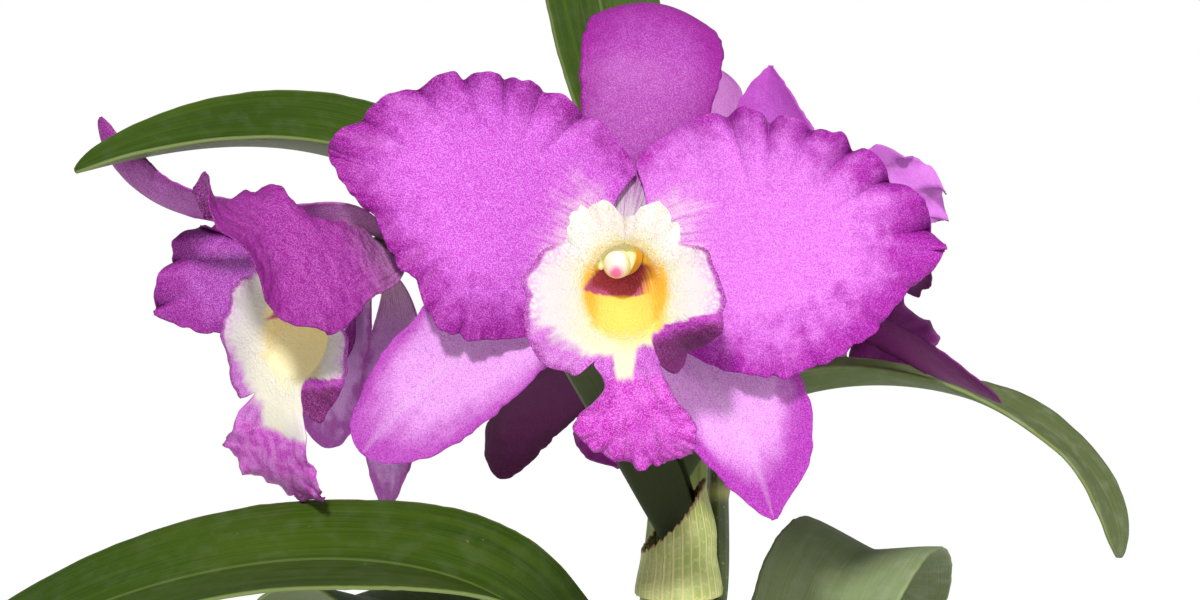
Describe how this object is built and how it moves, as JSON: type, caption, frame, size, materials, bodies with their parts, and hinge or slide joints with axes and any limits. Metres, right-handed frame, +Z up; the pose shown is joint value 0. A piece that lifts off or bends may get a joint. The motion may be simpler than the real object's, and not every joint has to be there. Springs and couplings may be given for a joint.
{
  "type": "potted cattleya orchid",
  "caption": "Potted orchid in bloom: magenta ruffled flowers with a yellow-throated white lip on one stalk, strap leaves on pseudobulbs, in a clay pot of bark.",
  "frame": {"origin": "middle of the pot's flat underside, on the surface that it stands on", "axes": "+Z up, -Y towards the side that the front bloom faces, +X to the right seen from there"},
  "size_m": [0.2831, 0.2219, 0.4206],
  "materials": {
    "clay": "unglazed terracotta, matt",
    "bark": "dry fir bark chips, matt",
    "root": "silvery green living root skin, matt",
    "pseudobulb": "smooth green plant tissue with papery sheath lines",
    "sheath": "thin pale green plant tissue with parallel veins, a dry brown edge",
    "leaf": "waxy dark green leaf, satin",
    "stalk": "smooth olive green plant tissue, satin",
    "pedicel": "dark red-brown plant tissue, satin",
    "sepal": "pink-mauve flower tissue with faint veins, sparkling matt",
    "petal": "magenta flower tissue with faint veins, sparkling matt",
    "lip": "cream white flower tissue with a yellow throat and magenta markings",
    "column": "waxy white flower tissue"
  },
  "bodies": {
    "root": {"pot": "clay", "bark_mix": "bark", "rhizome_and_roots": "root", "pseudobulb_central": "pseudobulb", "leaf_central": "leaf", "pseudobulb_behind": "pseudobulb", "leaf_behind": "leaf", "pseudobulb_tall": "pseudobulb", "leaf_tall": "leaf", "pseudobulb_left": "pseudobulb", "leaf_left": "leaf", "pseudobulb_right": "pseudobulb", "leaf_right": "leaf", "pseudobulb_rear": "pseudobulb", "leaf_rear": "leaf", "pseudobulb_front": "pseudobulb", "leaf_front": "leaf", "leaf_sheath": "sheath", "flower_stalk": "stalk", "bloom_front_dorsal_sepal": "sepal", "bloom_front_left_sepal": "sepal", "bloom_front_right_sepal": "sepal", "bloom_front_left_petal": "petal", "bloom_front_right_petal": "petal", "bloom_front_lip": "lip", "bloom_front_column": "column", "bloom_front_pedicel": "pedicel", "bloom_left_dorsal_sepal": "sepal", "bloom_left_left_sepal": "sepal", "bloom_left_right_sepal": "sepal", "bloom_left_left_petal": "petal", "bloom_left_right_petal": "petal", "bloom_left_lip": "lip", "bloom_left_column": "column", "bloom_left_pedicel": "pedicel", "bloom_right_dorsal_sepal": "sepal", "bloom_right_left_sepal": "sepal", "bloom_right_right_sepal": "sepal", "bloom_right_left_petal": "petal", "bloom_right_right_petal": "petal", "bloom_right_lip": "lip", "bloom_right_column": "column", "bloom_right_pedicel": "pedicel", "bloom_back_dorsal_sepal": "sepal", "bloom_back_left_sepal": "sepal", "bloom_back_right_sepal": "sepal", "bloom_back_left_petal": "petal", "bloom_back_right_petal": "petal", "bloom_back_lip": "lip", "bloom_back_column": "column", "bloom_back_pedicel": "pedicel"}
  },
  "joints": []
}
